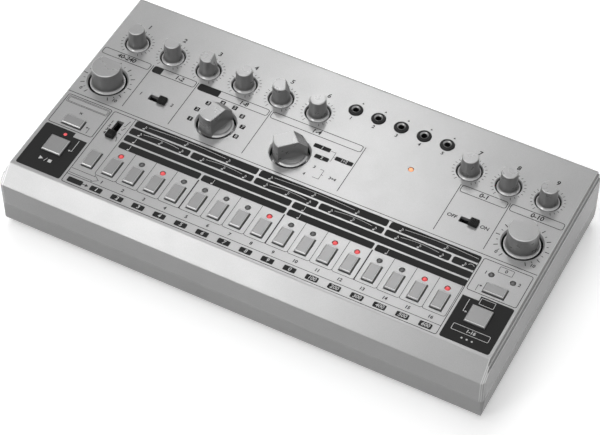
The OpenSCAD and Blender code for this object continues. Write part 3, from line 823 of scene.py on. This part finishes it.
def end_fields():
    """Fields of the start and clear keys on the left, and of the tap and pattern keys on the right."""
    black = Print("end_fields", BLACK_INK)
    white = Print("end_field_marks", WHITE_INK, layer=1)
    for side, column, width in END_FIELDS:
        black.frame(column, 49.2, width, 23.8, 1.2)
        black.plate(black_field(side, column, width))
        # line from the upper key past the notch, and on in the black field to the lower key
        lane = column - side * 10.0
        black.line([(lane + side * 1.3, 42.7), (lane, 42.7), (lane, 38.6)], FINE)
        black.plate(arrow_head(lane, 42.7, side))
        white.line([(lane, 31.6), (lane, 22.9), (lane + side * 1.3, 22.9)], THIN)
        white.plate(arrow_head(lane, 22.9, side))
    # double frame over the clear key, and the cross behind it
    black.frame(CLEAR_TITLE_COLUMN, 57.7, 27.4, 4.6, 0.9, FINE)
    black.frame(CLEAR_TITLE_COLUMN, 57.7, 25.8, 3.2, 0.6, HAIR)
    for tilt in (45, 135):
        black.line([around(-133.2, 50.6, 1.2, turn) for turn in (tilt, tilt + 180)], LINE)
    # number frame and lamp numbers over the pattern key
    black.frame(PATTERN_COLUMN, 57.7, 8.4, 4.2, 0.5, FINE)
    for text, column, row in (("0", PATTERN_COLUMN, 57.7), ("1", 123.6, 52.4), ("2", 143.6, 52.4)):
        black.number(text, column, row, 2.2)
    # play triangle, stroke and stop square in front of the start key
    white.plate([(-137.0, 9.7), (-134.6, 11.0), (-137.0, 12.3)])
    white.line([(-133.4, 9.6), (-132.4, 12.4)], THIN)
    white.plate([(-131.2, 9.9), (-129.0, 9.9), (-129.0, 12.1), (-131.2, 12.1)])
    # frames round the tap key's second functions
    white.frame(PATTERN_COLUMN, 32.9, 8.4, 4.2, 0.4, FINE)
    white.frame(TAP_COLUMN, 11.2, 21.6, 4.2, 0.5, FINE)
    white.number("1-16", TAP_COLUMN, 11.2, 2.2)
    for i in (-1, 0, 1):
        white.disc(TAP_COLUMN + 3.0 * i, 6.0, 0.55)
    black.finish_piece()
    white.finish_piece()


SWITCH_NUMBERS = (("OFF", 90.0), ("ON", 109.9), ("1", -110.6), ("2", -89.8))


def switch_print():
    marks = Print("switch_marks", BLACK_INK)
    for text, column in SWITCH_NUMBERS:
        marks.number(text, column, SLIDE_ROW, 2.4)
    # leader lines from the scale switch's four positions to the bars
    for i in range(4):
        near = 44.3 + 3.0 * i
        far = 41.2 + 5.7 * i
        marks.line([(-106.2, near), (-105.4, near), (-104.4, far)], 0.38)
        marks.number(str(4 - i), -113.9, near, 2.0, weight=0.1)
    # number in front of each trigger socket and arrow behind it
    for i, column in enumerate(JACK_COLUMNS, 1):
        marks.number(str(i), column, 119.6, 2.3, weight=0.1)
        tip = JACK_ROW + 7.4
        marks.plate([(column + 0.9, tip - 1.3), (column + 2.3, tip - 1.3), (column + 1.6, tip)])
    marks.finish_piece()


# ---------------------------------------------------------------- small turned parts
# Profiles are (radius, height) points. Places on the rear wall are a column and a height over the floor.
TURN_STEPS = 32
SMALL_KNOBS = (
    "knob_accent", "knob_bass_drum", "knob_snare_drum", "knob_toms", "knob_cymbal_clap", "knob_hi_hat",
    "knob_distortion", "knob_tone", "knob_level",
)
SMALL_LIP = 6.6
LARGE_LIP = 10.1
VOICE_COLUMNS = [-14 * (i + 1) for i in range(8)]
VOICE_HEIGHT = 26.1
REAR_MOUTH = 2.6
MIDI_COLUMNS = (56, 28)
MIDI_HEIGHT = 31.5
MIDI_CONTACT_CIRCLE = 3.35
MOUTH_PROFILE = [(1.85, -0.68), (2.54, 0.01), (2.48, 0.04), (1.79, -0.65)]
SLEEVE_PROFILE = [(6.95, -8.5), (7.19, -8.5), (7.19, 0.02), (6.95, 0.02)]
CONTACT_PROFILE = [(0.35, -0.05), (0.75, -0.05), (0.75, 0.03), (0.35, 0.03)]


def turned(name, profile, places, slot, body="case"):
    """Rings with one closed profile around each place's own z axis."""
    mesh = bmesh.new()
    for place in places:
        rings = []
        for i in range(TURN_STEPS):
            turn = place @ Matrix.Rotation(math.tau * i / TURN_STEPS, 4, "Z")
            rings.append([mesh.verts.new(turn @ (Vector((r, 0, height)) * MM)) for r, height in profile])
        for ring, after in zip(rings, rings[1:] + rings[:1]):
            for i in range(len(profile)):
                mesh.faces.new((ring[i - 1], ring[i], after[i], after[i - 1]))
    add_piece(name, mesh, finishes[slot], body)


def lip_flange(knob, column, row, lip, edge):
    """Thin turned edge round the lip of a knob, close to the panel's hole."""
    inner = lip - 0.6
    profile = [(inner, -1.5), (edge, -1.5), (edge, -1.0), (edge - 0.2, -0.85), (inner, -0.7)]
    turned(f"{knob}_flange", profile, [Matrix.Translation(on_panel(column, row))], "knob_silver", knob)


def lip_flanges():
    for knob, column in zip(SMALL_KNOBS, VOICE_KNOBS + EFFECT_KNOBS):
        lip_flange(knob, column, KNOB_ROW, SMALL_LIP, SMALL_LIP + 0.2)
    for knob, column in (("tempo_knob", -END_COLUMN), ("volume_knob", END_COLUMN)):
        lip_flange(knob, column, LARGE_ROW, LARGE_LIP, LARGE_LIP + 0.4)


def on_rear(column, height, stand=0.0):
    """Place on the rear wall whose z axis points to the rear."""
    spot = Vector((column, case_high.y / MM + stand, height)) * MM
    return Matrix.Translation(spot) @ Matrix.Rotation(-math.pi / 2, 4, "X")


def socket_parts():
    # plated ring in the countersunk mouth of each small socket
    top_mouths = [Matrix.Translation(on_panel(column, JACK_ROW, NUT_TOP)) for column in JACK_COLUMNS]
    rear_mouths = [on_rear(column, VOICE_HEIGHT, REAR_MOUTH) for column in VOICE_COLUMNS]
    turned("top_mouth_rings", MOUTH_PROFILE, top_mouths, "socket_metal")
    turned("rear_mouth_rings", MOUTH_PROFILE, rear_mouths, "socket_metal")
    # sheet sleeve and contacts of the five-pin sockets
    sleeves = [on_rear(column, MIDI_HEIGHT) for column in MIDI_COLUMNS]
    contacts = [
        on_rear(*around(column, MIDI_HEIGHT, MIDI_CONTACT_CIRCLE, angle), -0.6)
        for column in MIDI_COLUMNS for angle in range(180, 361, 45)
    ]
    turned("midi_sleeves", SLEEVE_PROFILE, sleeves, "socket_metal")
    turned("midi_contacts", CONTACT_PROFILE, contacts, "socket_metal")


lip_flanges()
socket_parts()
dial_marks()
title_boxes()
selector_print()
rhythm_bars()
step_field()
end_fields()
switch_print()

# ---------------------------------------------------------------- floor, light and camera
scene = bpy.context.scene
scene.view_settings.view_transform = "Standard"
FLOOR_HALF = 6.0


def add_floor():
    """Glossy white floor with a little light of its own where it is seen.

    It lights the object as a grey floor does.
    """
    edge = FLOOR_HALF
    corners = [(-edge, -edge, 0), (edge, -edge, 0), (edge, edge, 0), (-edge, edge, 0)]
    mesh = bpy.data.meshes.new("floor")
    mesh.from_pydata(corners, [], [(0, 1, 2, 3)])
    floor = bpy.data.objects.new("floor", mesh)
    scene.collection.objects.link(floor)
    surface = Finish("floor_white", {
        "Roughness": 0.16,
        "Specular IOR Level": 1.0,
        "Emission Strength": 1.0,
    })
    pale = surface.mix(surface.noise(400, 2), grey(0.93), grey(0.95))
    seen = surface.looked_at()
    surface.set({
        "Base Color": surface.mix(seen, grey(0.35), pale),
        "Emission Color": surface.mix(seen, grey(0.0), grey(0.38)),
    })
    mesh.materials.append(surface.material)


def add_softbox(name, place, target, width, height, watts):
    data = bpy.data.lights.new(name, "AREA")
    data.shape = "RECTANGLE"
    data.size = width
    data.size_y = height
    data.energy = watts
    lamp = bpy.data.objects.new(name, data)
    lamp.location = place
    lamp.rotation_euler = (Vector(target) - Vector(place)).to_track_quat("-Z", "Y").to_euler()
    scene.collection.objects.link(lamp)


def add_world():
    """White where it is seen or mirrored, and a dimmer grey as a light, dimmest on the right."""
    scene.world = bpy.data.worlds.new("studio")
    studio = Surface(scene.world, "Background", {"Strength": 1.0})
    coordinate = studio.node("ShaderNodeTexCoord", {}, {})
    direction = studio.node("ShaderNodeSeparateXYZ", {}, {0: coordinate.outputs["Generated"]})
    right = Amount(studio, direction.outputs[0]).ramp(0.0, 0.8)
    light = studio.mix(right, grey(0.43), grey(0.12))
    studio.set({"Color": studio.mix(studio.looked_at(), light, grey(1.0))})


CAMERA_AZIMUTH = 27.83
CAMERA_ELEVATION = 50.38
CAMERA_ROLL = -0.24
CAMERA_DISTANCE = 1202.3
CAMERA_RIGHT = 32.43
CAMERA_UP = 21.66
CAMERA_LENS = 131.41


def camera_axes():
    azimuth, elevation, roll = (math.radians(a) for a in (CAMERA_AZIMUTH, CAMERA_ELEVATION, CAMERA_ROLL))
    back = Vector((
        math.sin(azimuth) * math.cos(elevation),
        -math.cos(azimuth) * math.cos(elevation),
        math.sin(elevation),
    ))
    right = Vector((math.cos(azimuth), math.sin(azimuth), 0))
    up = back.cross(right)
    return (
        right * math.cos(roll) + up * math.sin(roll),
        up * math.cos(roll) - right * math.sin(roll),
        back,
    )


def add_camera():
    right, up, back = camera_axes()
    data = bpy.data.cameras.new("camera")
    data.lens = CAMERA_LENS
    data.sensor_width = 36.0
    data.clip_start = 0.05
    camera = bpy.data.objects.new("camera", data)
    place = on_panel(0, 0) + (right * CAMERA_RIGHT + up * CAMERA_UP + back * CAMERA_DISTANCE) * MM
    turn = Matrix((right, up, back)).transposed().to_4x4()
    camera.matrix_world = Matrix.Translation(place) @ turn
    scene.collection.objects.link(camera)
    scene.camera = camera


def mirrored(normal):
    """Where light comes from when the camera sees it mirrored in a face with that normal."""
    back = camera_axes()[2]
    return 2 * back.dot(normal) * normal - back


def add_lights():
    middle = on_panel(0, 66)
    add_softbox("overhead_softbox", middle + Vector((-0.45, -0.15, 2.5)), middle, 2.4, 2.0, 23.5)
    # two smaller ones, each mirrored round a spot in the plane of the panel or of the front bevel
    for name, spot, normal, distance, width, height, watts in (
        ("rear_softbox", on_panel(36, 170), (0, 0, 1), 2.5, 0.38, 0.5, 4.2),
        ("front_softbox", on_panel(-225, 0), (0, -1, 1), 2.2, 0.7, 0.45, 7.4),
    ):
        place = spot + mirrored(Vector(normal).normalized()) * distance
        add_softbox(name, place, spot, width, height, watts)


add_floor()
add_world()
add_lights()
add_camera()
